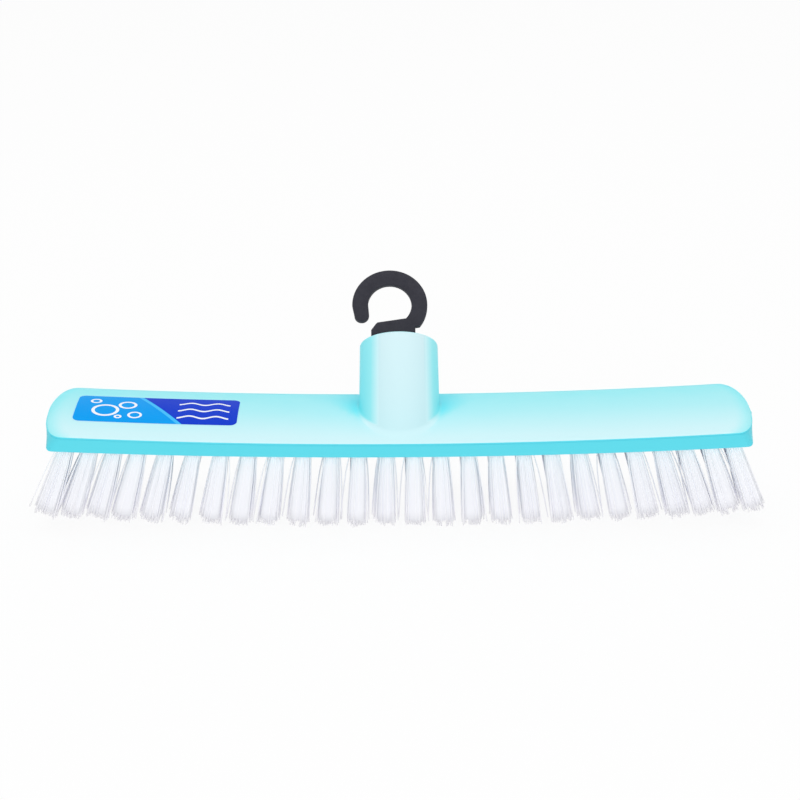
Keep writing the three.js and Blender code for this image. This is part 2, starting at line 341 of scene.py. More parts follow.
def socket_wall_line(angle):
    """Points up one side of the socket, from inside the block to the rim."""
    in_front = smoothstep(-math.sin(angle), *FILLET_FADE)
    fillet = FOOT_FILLET * (FILLET_BACK_SHARE + (1 - FILLET_BACK_SHARE) * in_front)
    foot = foot_along(SOCKET_FOOT_RADIUS, angle)
    radius = socket_radius(foot)
    corner = socket_point(radius, angle, foot)
    on_crown = socket_point(radius + fillet, angle, foot_along(radius + fillet, angle))
    on_crown -= Vector((0, 0, FILLET_SINK))
    on_wall = socket_point(socket_radius(foot + fillet), angle, foot + fillet)
    root = socket_point(radius - WALL_ROOT_DEPTH, angle, foot)
    root.z = BRISTLE_LENGTH + BAND_HEIGHT / 2
    line = [root]
    for k in range(FILLET_STEPS + 1):
        t = k / FILLET_STEPS
        line.append(on_crown.lerp(corner, t).lerp(corner.lerp(on_wall, t), t))
    for k in range(RIM_STEPS + 1):
        turn = math.pi / 2 * k / RIM_STEPS
        line.append(socket_point(SOCKET_RIM_RADIUS - RIM_ROUND * (1 - math.cos(turn)), angle,
                                 SOCKET_RIM - RIM_ROUND * (1 - math.sin(turn))))
    return line


wall_lines = [socket_wall_line(2 * math.pi * i / SOCKET_SIDES) for i in range(SOCKET_SIDES)]
print(len(wall_lines), "lines of", len(wall_lines[0]), "points")

# %% Socket wall
MATCH_DIGITS = 3

socket_mesh = bmesh.new()
ring = bmesh.ops.create_circle(socket_mesh, segments=SOCKET_SIDES, radius=1)["verts"]
for level in range(len(wall_lines[0])):
    if level > 0:
        step = bmesh.ops.extrude_edge_only(socket_mesh, edges=ring_edges)
        order = {vert.co.to_tuple(MATCH_DIGITS): i for i, vert in enumerate(ring)}
        ring = sorted(verts_in(step["geom"]), key=lambda vert: order[vert.co.to_tuple(MATCH_DIGITS)])
    for i, vert in enumerate(ring):
        vert.co = wall_lines[i][level]
    held = set(ring)
    ring_edges = [edge for edge in socket_mesh.edges if held.issuperset(edge.verts)]
bmesh.ops.holes_fill(socket_mesh, edges=rim_edges(socket_mesh), sides=SOCKET_SIDES)
bmesh.ops.recalc_face_normals(socket_mesh, faces=socket_mesh.faces)
socket_wall = object_from(socket_mesh, "socket_wall")
print("socket wall:", len(socket_wall.data.polygons), "faces")

# %% [markdown]
# ## Joining and cutting
#
# Boolean modifiers join the socket to the block and cut the bore, its screw thread and the tuft holes. Each
# result is taken from the evaluated object at once, so no modifier stays on the finished piece.

# %% Join the socket
def combine(target, tool, operation):
    modifier = target.modifiers.new(operation.title(), "BOOLEAN")
    modifier.operation = operation
    modifier.solver = "EXACT"
    modifier.object = tool
    depsgraph = bpy.context.evaluated_depsgraph_get()
    result = bpy.data.meshes.new_from_object(target.evaluated_get(depsgraph))
    target.modifiers.remove(modifier)
    old = target.data
    target.data = result
    bpy.data.meshes.remove(old)
    bpy.data.meshes.remove(tool.data)


combine(block, socket_wall, "UNION")
print("block and socket:", len(block.data.polygons), "faces")

# %% [markdown]
# The bore is a turned shape: half of its profile is drawn beside the axis and spun once round. The thread is
# the same idea with a lift at each step, which turns the spin into a helix. It is cut into the wall, so a
# handle's thread has room, and so has the tongue of the hook.

# %% Bore
BORE_RADIUS = 12.5
BORE_SHOULDER = 12.6
BORE_TIP = 6.1
BORE_TIP_RADIUS = 5.5
BORE_CHAMFER = 0.8
BORE_ABOVE = 4.0
FINE_WELD_DISTANCE = 1e-4


def spin_profile(bm, profile, steps):
    verts = [bm.verts.new((radius, along, 0)) for radius, along in profile]
    edges = [bm.edges.new(pair) for pair in zip(verts, verts[1:])]
    bmesh.ops.spin(bm, geom=verts + edges, cent=(0, 0, 0), axis=(0, 1, 0), angle=2 * math.pi, steps=steps,
                   use_merge=True)
    bmesh.ops.remove_doubles(bm, verts=bm.verts, dist=FINE_WELD_DISTANCE)
    bmesh.ops.recalc_face_normals(bm, faces=bm.faces)


bore_mesh = bmesh.new()
mouth_radius = BORE_RADIUS + BORE_CHAMFER
spin_profile(bore_mesh, [
    (0, BORE_TIP), (BORE_TIP_RADIUS, BORE_TIP), (BORE_RADIUS, BORE_SHOULDER),
    (BORE_RADIUS, SOCKET_RIM - BORE_CHAMFER), (mouth_radius, SOCKET_RIM),
    (mouth_radius, SOCKET_RIM + BORE_ABOVE), (0, SOCKET_RIM + BORE_ABOVE),
], SOCKET_SIDES)
bmesh.ops.transform(bore_mesh, matrix=SOCKET_FRAME, verts=bore_mesh.verts)
combine(block, object_from(bore_mesh, "bore"), "DIFFERENCE")
print("bore cut:", len(block.data.polygons), "faces")

# %% Thread
THREAD_START = 14.5
THREAD_PITCH = 5.0
THREAD_TURNS = 3
THREAD_STEPS = 48
THREAD_DEPTH = 1.0
THREAD_INSIDE = 0.5
THREAD_HALF_MOUTH = 1.3
THREAD_HALF_FLOOR = 0.5

thread_mesh = bmesh.new()
thread_mouth = BORE_RADIUS - THREAD_INSIDE
thread_floor = BORE_RADIUS + THREAD_DEPTH
groove = [
    (thread_mouth, -THREAD_HALF_MOUTH), (thread_floor, -THREAD_HALF_FLOOR),
    (thread_floor, THREAD_HALF_FLOOR), (thread_mouth, THREAD_HALF_MOUTH),
]
groove_face = thread_mesh.faces.new([thread_mesh.verts.new((r, THREAD_START + s, 0)) for r, s in groove])
bmesh.ops.spin(thread_mesh, geom=[groove_face], cent=(0, 0, 0), axis=(0, 1, 0),
               dvec=(0, THREAD_PITCH / THREAD_STEPS, 0), angle=2 * math.pi * THREAD_TURNS,
               steps=THREAD_STEPS * THREAD_TURNS)
bmesh.ops.holes_fill(thread_mesh, edges=rim_edges(thread_mesh), sides=len(groove))
bmesh.ops.recalc_face_normals(thread_mesh, faces=thread_mesh.faces)
bmesh.ops.transform(thread_mesh, matrix=SOCKET_FRAME, verts=thread_mesh.verts)
combine(block, object_from(thread_mesh, "thread"), "DIFFERENCE")
print("thread cut:", len(block.data.polygons), "faces")

# %% [markdown]
# ## The tuft holes
#
# Bristles stand in blind holes, in columns across the block. The columns fan out: each one leans away from the
# middle by an angle that grows with its distance, and its holes lean with it. A sheared cylinder cuts each.

# %% Columns of tufts
FAN_ANGLE = math.radians(21)
MAIN_COLUMNS = 10
MAIN_PITCH = 11.6
END_COLUMNS = 3
END_PITCH = 10.1
ROWS = 5
ROW_PITCH = 10.0
HOLE_RADIUS = 2.9
HOLE_DEPTH = 5.6
HOLE_BELOW = 3.0
HOLE_SIDES = 14

half_columns = [(i + 0.5) * MAIN_PITCH for i in range(MAIN_COLUMNS)]
half_columns += [half_columns[-1] + END_PITCH * (i + 1) for i in range(END_COLUMNS)]
columns = [-x for x in reversed(half_columns)] + half_columns
rows = [(i - (ROWS - 1) / 2) * ROW_PITCH for i in range(ROWS)]


def column_lean(x):
    return FAN_ANGLE * x / half_columns[-1]


def leaning(x, y):
    """Moves a shape drawn down the Z axis to a tuft's place, sheared along the tuft's lean."""
    shear = Matrix.Identity(4)
    shear[0][2] = -math.tan(column_lean(x))
    return Matrix.Translation((x, y, underside_height(x))) @ shear


hole_mesh = bmesh.new()
hole_middle = Matrix.Translation((0, 0, (HOLE_DEPTH - HOLE_BELOW) / 2))
for x in columns:
    for y in rows:
        bmesh.ops.create_cone(hole_mesh, cap_ends=True, segments=HOLE_SIDES, radius1=HOLE_RADIUS,
                              radius2=HOLE_RADIUS, depth=HOLE_DEPTH + HOLE_BELOW,
                              matrix=leaning(x, y) @ hole_middle)
combine(block, object_from(hole_mesh, "tuft_holes"), "DIFFERENCE")
print(len(columns) * ROWS, "tuft holes cut:", len(block.data.polygons), "faces")

# %% [markdown]
# ## Painted light and shade on the block
#
# The plastic is translucent, and looks pale where it faces the light and deep where it faces aside. Scattering
# the light inside it would be slow, so the light and shade are painted into the colour instead: the block
# carries a painted light level as an attribute, worked out once from each vertex's own normal: one curve for
# how far it tips forwards, one for how far it turns aside from a light slightly to the right. Where the leaning
# socket keeps the light off the crown beside and behind it, painted shade is put. The crown's ends and the band
# from the crown's edge down get painted shade, the socket gets a painted highlight towards its rim, and the
# underside gets painted light from the table.

# %% Painted shade of the socket and of the ends
SHADE_DEPTH = 0.85
SHADE_REACH_FRONT = 2.5
SHADE_REACH_BACK = 18.0
SHADE_FRONT = -12.0
SHADE_BACK = 22.0
SHADE_FULL = 4.0
SHADE_HEIGHT = 3.0
END_REACH = 8.0
INTO_SOCKET = SOCKET_FRAME.inverted()


def socket_shade(place):
    """How much painted shade the socket's shadow puts on a place on the crown."""
    local = INTO_SOCKET @ place
    away = math.hypot(local.x, local.z) - socket_radius(local.y)
    lift = place.z - crown_height(place.x, place.y)
    beside = smoothstep(place.y, SHADE_FRONT, SHADE_FULL)
    spread = smoothstep(place.y, SHADE_FRONT, SHADE_BACK)
    reach = SHADE_REACH_FRONT + (SHADE_REACH_BACK - SHADE_REACH_FRONT) * spread
    return SHADE_DEPTH * beside * (1 - smoothstep(away, 0, reach)) * (1 - smoothstep(lift, 0, SHADE_HEIGHT))


def end_painted_shade(x, y):
    """Painted shade on the crown where it rolls over its bowed end: 1 on the edge, 0 further in."""
    across = clamp(abs(y) / HALF_WIDTH)
    bow_here = 1 - (1 - across**CROWN_OUTLINE.power) ** (1 / CROWN_OUTLINE.power)
    gap = CROWN_OUTLINE.half_length - CROWN_OUTLINE.bow * bow_here - abs(x)
    return 1 - smoothstep(gap, 0, END_REACH)


print("depth of an end's edge:", round(end_painted_shade(CROWN_OUTLINE.half_length, 0), 2))

# %% Store the painted light attribute and place the block
# Painted light: how pale the plastic is painted, by how far a surface tips forwards and turns aside from the
# light.
PAINTED_LIGHT_BY_TILT = [(-60, 0.0), (-11, 0.34), (0, 0.57), (9, 0.86), (46, 0.92), (70, 0.5), (150, 0.1)]
PAINTED_LIGHT_BY_ASIDE = [(0.0, 1.0), (0.55, 1.0), (0.77, 0.46), (1.0, 0.3)]
LIGHT_ASIDE = 0.07
BAND_PAINTED_LIGHT = 0.02
DEEP_FROM = 0.06
UNDERSIDE_PAINTED_LIGHT = 0.5
UNDERSIDE_FROM = 0.8
END_PAINTED_SHADE = 0.45
RIM_PAINTED_HIGHLIGHT = 0.08
RIM_HIGHLIGHT_FROM = 22.0


def on_curve(value, curve):
    """Level at a value, on straight lines between pairs of place and level."""
    for (low, low_level), (high, high_level) in zip(curve, curve[1:]):
        if value <= high:
            share = max(0.0, (value - low) / (high - low))
            return low_level + share * (high_level - low_level)
    return curve[-1][1]


# Painted light level of a vertex: deep on the band, painted light from the table on the underside, and on top
# by its normal, with painted shade by the socket and at the ends.
def painted_light_level(place, normal):
    if place.z < crown_edge_height(place.x) - DEEP_FROM:
        facing_down = smoothstep(-normal.z, UNDERSIDE_FROM, 1.0)
        return BAND_PAINTED_LIGHT + (UNDERSIDE_PAINTED_LIGHT - BAND_PAINTED_LIGHT) * facing_down
    tilt = math.degrees(math.atan2(-normal.y, normal.z))
    level = on_curve(tilt, PAINTED_LIGHT_BY_TILT) * on_curve(abs(normal.x - LIGHT_ASIDE), PAINTED_LIGHT_BY_ASIDE)
    level *= (1 - socket_shade(place)) * (1 - END_PAINTED_SHADE * end_painted_shade(place.x, place.y))
    # Painted highlight: the socket is painted paler towards its rim.
    up_socket = (INTO_SOCKET @ place).y
    return level + RIM_PAINTED_HIGHLIGHT * level * smoothstep(up_socket, RIM_HIGHLIGHT_FROM, SOCKET_RIM)


painted_light = block.data.attributes.new("painted_light", "FLOAT", "POINT")
for vert in block.data.vertices:
    painted_light.data[vert.index].value = painted_light_level(vert.co, vert.normal)
settle(block, sharp_degrees=35)
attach(block, "head")
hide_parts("block")

# %% [markdown]
# ## Bristle tufts
#
# A tuft is a bundle of straight plastic filaments, folded once and stapled in its hole, so it leaves the hole
# tight and round and spreads towards the floor. Hair particles would be quick, but they leave no mesh to
# export, so one filament is a thin five-sided rod. A handful of different tufts is bent together from it, and
# every place in the field gets one of them, mirrored at random. The middle of the bundle, where no light gets
# in between the filaments, is a fluted core that ends short of the tips. Both start from a rod of length 1.

# %% One straight filament
FILAMENT_RADIUS = 0.24
FILAMENT_SIDES = 5
FILAMENT_CUTS = 4
HALF_ROD = 0.5


def rise_of(edge):
    return abs(edge.verts[0].co.z - edge.verts[1].co.z)


def unit_rod(sides, radius, cuts, middle):
    """Upright rod of length 1, cut across so that it can bend, with two attributes to be filled in."""
    bm = bmesh.new()
    bm.verts.layers.float.new("along")
    bm.verts.layers.float.new("tone_and_shade")
    bmesh.ops.create_cone(bm, cap_ends=True, segments=sides, radius1=radius, radius2=radius, depth=1,
                          matrix=Matrix.Translation((0, 0, middle)))
    long_edges = [edge for edge in bm.edges if rise_of(edge) > HALF_ROD]
    bmesh.ops.subdivide_edges(bm, edges=long_edges, cuts=cuts)
    return bm


filament = mesh_from(unit_rod(FILAMENT_SIDES, FILAMENT_RADIUS, FILAMENT_CUTS, HALF_ROD), "filament")
print("one filament has", len(filament.polygons), "faces")

# %% The core of a tuft
ROOT_SPREAD = 2.6
TIP_SPREAD_X = 4.4
TIP_SPREAD_Y = 4.9
TIP_SQUARENESS = 0.6
SPREAD_CURVE = 0.42
CORE_SIDES = 32
CORE_CUTS = 5
CORE_END = 0.9
CORE_INSET = 0.14
CORE_FLUTE = 0.2
CORE_PAINTED_SHADE = 0.8


def spread_tip(place):
    """Where a filament ends: tufts crowd each other, so their round bundles end almost square."""
    widest = max(abs(place.x), abs(place.y))
    corner = (place.length / widest) ** TIP_SQUARENESS
    return Vector((place.x * TIP_SPREAD_X, place.y * TIP_SPREAD_Y, 0)) * corner / ROOT_SPREAD


core_mesh = unit_rod(CORE_SIDES, 1, CORE_CUTS, -HALF_ROD)
along_layer = core_mesh.verts.layers.float["along"]
tone_and_shade_layer = core_mesh.verts.layers.float["tone_and_shade"]
for vert in core_mesh.verts:
    share = -vert.co.z * CORE_END
    side = round(math.atan2(vert.co.y, vert.co.x) / (2 * math.pi) * CORE_SIDES)
    inset = CORE_INSET + CORE_FLUTE * (side % 2)
    root = Vector((vert.co.x, vert.co.y, 0)) * (ROOT_SPREAD - inset)
    vert.co = root.lerp(spread_tip(root), share**SPREAD_CURVE)
    vert.co.z = -share * BRISTLE_LENGTH
    vert[along_layer] = share
    # The core's deeper colour is painted shade for the light that doesn't get in between the filaments.
    vert[tone_and_shade_layer] = CORE_PAINTED_SHADE
core = mesh_from(core_mesh, "tuft_core")
print("the core has", len(core.polygons), "faces")

# %% [markdown]
# In a tuft the filaments stand as evenly as seeds in a sunflower. They cling together in clumps, and each clump
# sways and is trimmed a little differently. The front row is pushed ahead and wears first, so its tufts also
# throw out a few strays.

# %% Bending and clumping
Clump = namedtuple("Clump", "middle sway short")

ROOT_GAP = 0.3
ROOT_DEPTH = HOLE_DEPTH - ROOT_GAP
GOLDEN_ANGLE = math.pi * (3 - math.sqrt(5))
CLUMPS = 14
CLUMP_SWAY = 0.4
CLUMP_SHORT = 1.0
SEED = 31
rng = random.Random(SEED)


def bend_filament(bm, start, root, tip, length, tone_and_shade):
    """Bends the rod that was added last: upright in the hole, then spreading out to its tip."""
    along_layer = bm.verts.layers.float["along"]
    tone_and_shade_layer = bm.verts.layers.float["tone_and_shade"]
    whole = ROOT_DEPTH + length
    bm.verts.ensure_lookup_table()
    for vert in bm.verts[start:]:
        drop = vert.co.z * whole - ROOT_DEPTH
        share = max(0.0, drop / length)
        centre = root.lerp(tip, share**SPREAD_CURVE)
        vert[along_layer] = share
        vert[tone_and_shade_layer] = tone_and_shade
        vert.co = Vector((centre.x + vert.co.x, centre.y + vert.co.y, -drop))


def in_disc(number, count, radius):
    """Evenly spread places in a disc."""
    reach = radius * math.sqrt((number + 0.5) / count)
    angle = number * GOLDEN_ANGLE
    return Vector((reach * math.cos(angle), reach * math.sin(angle), 0))


def sideways(size):
    """Random step across the filaments."""
    return Vector((rng.gauss(0, size), rng.gauss(0, size), 0))


def make_clump(number):
    """A clump has a middle, a sway and a shortfall of its own."""
    return Clump(in_disc(number, CLUMPS, ROOT_SPREAD), sideways(CLUMP_SWAY), abs(rng.gauss(0, CLUMP_SHORT)))


print(CLUMPS, "clumps in each tuft, rooted", round(ROOT_DEPTH, 2), "mm deep")

# %% A few different tufts
TUFT_KINDS = 12
FILAMENTS = 96
FILAMENT_TONE = 0.3
ROOT_JITTER = 0.1
TIP_JITTER = 0.15
TRIM_JITTER = 0.2
STRAYS = 4
STRAY_REACH = 2.6
STRAY_SHORT = 1.5


def make_tuft(is_front):
    bm = bmesh.new()
    bm.from_mesh(core)
    clumps = [make_clump(i) for i in range(CLUMPS)]
    for i in range(FILAMENTS):
        jitter = Vector((rng.uniform(-ROOT_JITTER, ROOT_JITTER), rng.uniform(-ROOT_JITTER, ROOT_JITTER), 0))
        root = in_disc(i, FILAMENTS, ROOT_SPREAD) + jitter
        clump = min(clumps, key=lambda each: (each.middle - root).length)
        tip = spread_tip(root) + clump.sway + sideways(TIP_JITTER)
        length = BRISTLE_LENGTH - clump.short - abs(rng.gauss(0, TRIM_JITTER))
        if is_front and i >= FILAMENTS - STRAYS:
            tip.x += math.copysign(rng.uniform(0, STRAY_REACH), tip.x)
            length -= rng.uniform(0, STRAY_SHORT)
        start = len(bm.verts)
        bm.from_mesh(filament)
        bend_filament(bm, start, root, tip, length, rng.uniform(0, FILAMENT_TONE))
    return mesh_from(bm, "front_tuft" if is_front else "inner_tuft")


front_kinds = [make_tuft(is_front=True) for _ in range(TUFT_KINDS)]
inner_kinds = [make_tuft(is_front=False) for _ in range(TUFT_KINDS)]
print("made twice", TUFT_KINDS, "kinds of tuft with", FILAMENTS, "filaments each")

# %% [markdown]
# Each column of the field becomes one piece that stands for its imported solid. A tuft is turned to lean as its
# hole does, so its tips stay trimmed square to the filaments, and the outer columns end a little above the
# floor. The front tufts splay a little more towards the ends of the block, where fewer neighbours hold them.
# The inner ones narrow towards their tips, so that gaps stay open between the columns.

# %% Fill the columns
INNER_SPREAD = 0.6
END_SPLAY = 0.08
MIRRORED_OR_NOT = (-1, 1)


def widen_tips(verts, tip_width):
    """Stretches a tuft along the block: not at its root, and by the whole of a width at its tips."""
    for vert in verts:
        vert.co.x *= 1 + (tip_width - 1) * max(0.0, -vert.co.z / BRISTLE_LENGTH)


bristle_pieces = []
for number, x in enumerate(columns, start=1):
    bm = bmesh.new()
    lean = Matrix.Rotation(-column_lean(x), 4, "Y")
    front_width = 1 + END_SPLAY * (x / half_columns[-1]) ** 2
    for y in rows:
        is_front = y == rows[0]
        start = len(bm.verts)
        bm.from_mesh(rng.choice(front_kinds if is_front else inner_kinds))
        bm.verts.ensure_lookup_table()
        tuft_verts = bm.verts[start:]
        widen_tips(tuft_verts, front_width if is_front else INNER_SPREAD)
        flip = Matrix.Diagonal((rng.choice(MIRRORED_OR_NOT), rng.choice(MIRRORED_OR_NOT), 1, 1))
        place = Matrix.Translation((x, y, underside_height(x)))
        bmesh.ops.transform(bm, matrix=place @ lean @ flip, verts=tuft_verts)
    bmesh.ops.recalc_face_normals(bm, faces=bm.faces)
    piece = object_from(bm, f"bristles_{number:02d}")
    piece.data.transform(TO_FRAME)
    piece.data.shade_smooth()
    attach(piece, "head")
    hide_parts(f"tuft_column_{number:02d}")
    bristle_pieces.append(piece)
print(len(bristle_pieces), "columns of", len(bristle_pieces[0].data.polygons), "faces")

# %% [markdown]
# ## The hanging hook
#
# The hook is a flat moulded plate: a tongue in the bore, a base with a slanting top and an open eye. A curve
# with a bevel would give a round wire, so the plate is drawn flat. The base and tongue are one face. The eye
# starts from the base's slanting edge, which is spun about the eye's centre, and goes on as a straight arm with
# a round end. The sheet then gets its thickness and rounded edges.

# %% Hook sizes
HOOK_THICKNESS = 2.5
EYE = Vector((-3.8, 51.6, 0))
EYE_OUTER = 16.65
EYE_INNER = 9.65
EYE_OUTER_START = math.radians(-37.5)
EYE_INNER_START = math.radians(-42.4)
EYE_TURN = math.radians(217.5)
EYE_STEPS = 56
ARM_END = Vector((-16.25, 47.0, 0))
ARM_RADIUS = 3.25
ARM_ROUND_STEPS = 9
TONGUE_HALF = 12.1
TONGUE_RIGHT = 7.4
TONGUE_END = 17.0
TONGUE_TIP_ROUND = 2.5
SHOULDER_LOW = 24.0
SHOULDER_HIGH = 27.0
BASE_CORNER = (-9.3, 43.2)
BASE_CUT = (-10.1, 42.4)
BASE_LEFT_TOP = 39.6
NECK_STEP = 0.3
HOOK_EDGE_ROUND = 0.35


def on_eye(radius, angle):
    return EYE + radius * Vector((math.cos(angle), math.sin(angle), 0))


print("the hook's eye is", 2 * EYE_INNER, "mm across")

# %% Hook sheet
hook_mesh = bmesh.new()
inner_start = hook_mesh.verts.new(on_eye(EYE_INNER, EYE_INNER_START))
outer_start = hook_mesh.verts.new(on_eye(EYE_OUTER, EYE_OUTER_START))
base_outline = [
    BASE_CORNER, BASE_CUT, (-TONGUE_HALF, BASE_LEFT_TOP), (-TONGUE_HALF, TONGUE_END + TONGUE_TIP_ROUND),
    (-TONGUE_HALF + TONGUE_TIP_ROUND, TONGUE_END), (TONGUE_HALF - TONGUE_TIP_ROUND, TONGUE_END),
    (TONGUE_HALF, TONGUE_END + TONGUE_TIP_ROUND), (TONGUE_HALF, SHOULDER_LOW),
    (TONGUE_RIGHT, SHOULDER_HIGH), (TONGUE_RIGHT, outer_start.co.y - NECK_STEP),
]
base_verts = [hook_mesh.verts.new((across, along, 0)) for across, along in base_outline]
hook_mesh.faces.new([inner_start, *base_verts, outer_start])
start_edge = hook_mesh.edges.get((inner_start, outer_start))
spun = bmesh.ops.spin(hook_mesh, geom=[inner_start, outer_start, start_edge], cent=EYE, axis=(0, 0, 1),
                      angle=EYE_TURN, steps=EYE_STEPS)
arm_edge = next(item for item in spun["geom_last"] if isinstance(item, bmesh.types.BMEdge))
for k in range(ARM_ROUND_STEPS):
    turn = math.pi / 2 * k / ARM_ROUND_STEPS
    step = bmesh.ops.extrude_edge_only(hook_mesh, edges=[arm_edge])
    arm_edge = next(item for item in step["geom"] if isinstance(item, bmesh.types.BMEdge)
                    and all(vert in step["geom"] for vert in item.verts))
    for vert in arm_edge.verts:
        side = math.copysign(1, vert.co.x - ARM_END.x)
        vert.co = ARM_END + ARM_RADIUS * Vector((side * math.cos(turn), -math.sin(turn), 0))
print("hook sheet:", len(hook_mesh.faces), "faces")

# %% Thickness and rounded edges
SHARP_OUTLINE = math.radians(60)
LEVEL_LIMIT = 0.1
HOOK_EDGE_SEGMENTS = 3

thick = bmesh.ops.extrude_face_region(hook_mesh, geom=hook_mesh.faces[:], use_keep_orig=True)
bmesh.ops.translate(hook_mesh, vec=(0, 0, HOOK_THICKNESS), verts=verts_in(thick["geom"]))
bmesh.ops.translate(hook_mesh, vec=(0, 0, -HOOK_THICKNESS / 2), verts=hook_mesh.verts)
bmesh.ops.remove_doubles(hook_mesh, verts=hook_mesh.verts, dist=FINE_WELD_DISTANCE)
bmesh.ops.recalc_face_normals(hook_mesh, faces=hook_mesh.faces)
outline_edges = [edge for edge in hook_mesh.edges
                 if edge.calc_face_angle(0) > SHARP_OUTLINE and rise_of(edge) < LEVEL_LIMIT]
bmesh.ops.bevel(hook_mesh, geom=outline_edges, offset=HOOK_EDGE_ROUND, offset_type="OFFSET", affect="EDGES",
                segments=HOOK_EDGE_SEGMENTS, profile=0.5, material=-1, clamp_overlap=True)
print("hook plate:", len(hook_mesh.faces), "faces")

# %% [markdown]
# A faint crease crosses the free arm, which was bent a little as it came out of its mould. The plate is cut
# along the crease and the arm below it is turned by a degree.

# %% Crease and place of the hook
CREASE_ALONG = 54.0
CREASE_DEGREES = 1.0
ARM_SHARE = 0.8
ARM_MARGIN = 5
ARM_FROM = EYE.x - EYE_INNER * ARM_SHARE
ARM_LOWEST = ARM_END.y - ARM_MARGIN

arm_faces = [face for face in hook_mesh.faces if face.calc_center_median().x < ARM_FROM]
arm_parts = list(dict.fromkeys(part for face in arm_faces for part in (face, *face.edges, *face.verts)))
bmesh.ops.bisect_plane(hook_mesh, geom=arm_parts, plane_co=(0, CREASE_ALONG, 0), plane_no=(0, 1, 0),
                       dist=FINE_WELD_DISTANCE)
below_crease = [vert for vert in hook_mesh.verts
                if vert.co.x < ARM_FROM and ARM_LOWEST < vert.co.y < CREASE_ALONG - WELD_DISTANCE]
bmesh.ops.rotate(hook_mesh, cent=(0, CREASE_ALONG, 0),
                 matrix=Matrix.Rotation(math.radians(CREASE_DEGREES), 3, "X"), verts=below_crease)
bmesh.ops.transform(hook_mesh, matrix=SOCKET_FRAME, verts=hook_mesh.verts)
hook = object_from(hook_mesh, "hook_moulding")
settle(hook, sharp_degrees=30)
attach(hook, "hook")
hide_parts("hanging_hook")

# %% [markdown]
# ## The sticker
#
# A thin printed film lies on the crown near one end. It is another grid pushed into shape, with round corners,
# and follows the crown closely. Solidify gives it the thickness of a film, so its edge catches the light.

# %% Sticker film
STICKER_LENGTH = 69.6
STICKER_WIDTH = 26.8
STICKER_CENTRE = -104.3
STICKER_CORNER = 3.0
STICKER_LIFT = 0.16
STICKER_THICKNESS = 0.12
FILM_ALONG = 72
FILM_ACROSS = 24

sticker_mesh = bmesh.new()
film = bmesh.ops.create_grid(sticker_mesh, x_segments=FILM_ALONG, y_segments=FILM_ACROSS, size=1)
sticker_straight = STICKER_LENGTH / 2 - STICKER_CORNER
for vert in film["verts"]:
    along = abs(vert.co.x)
    if along <= STRAIGHT_SHARE:
        reach = sticker_straight * along / STRAIGHT_SHARE
        inset = 0.0
    else:
        turn = (along - STRAIGHT_SHARE) / (1 - STRAIGHT_SHARE) * math.pi / 2
        reach = sticker_straight + STICKER_CORNER * math.sin(turn)
        inset = STICKER_CORNER * (1 - math.cos(turn))
    x = STICKER_CENTRE + math.copysign(reach, vert.co.x)
    y = vert.co.y * (STICKER_WIDTH / 2 - inset)
    vert.co = (x, y, crown_height(x, y) + STICKER_LIFT)
bmesh.ops.recalc_face_normals(sticker_mesh, faces=sticker_mesh.faces)
if sum(face.normal.z for face in sticker_mesh.faces) < 0:
    bmesh.ops.reverse_faces(sticker_mesh, faces=sticker_mesh.faces)
bmesh.ops.solidify(sticker_mesh, geom=sticker_mesh.faces[:], thickness=STICKER_THICKNESS)
bmesh.ops.recalc_face_normals(sticker_mesh, faces=sticker_mesh.faces)
sticker = object_from(sticker_mesh, "sticker_film")
settle(sticker, sharp_degrees=50)
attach(sticker, "head")
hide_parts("sticker")

# %% [markdown]
# ## Materials
#
# All finishes are node materials on Object coordinates or on the pieces' own attributes, so they stay put when
# a piece moves. A few short helpers keep the node code readable.

# %% Node helpers
NOISE_LOW = 0.3
NOISE_HIGH = 0.7


def srgb(red, green, blue):
    """Turns a colour as read on a screen (0 to 255) into the linear values that a shader wants."""
    def linear(level):
        share = level / 255
        return share / 12.92 if share <= 0.04045 else ((share + 0.055) / 1.055) ** 2.4
    return (linear(red), linear(green), linear(blue), 1)


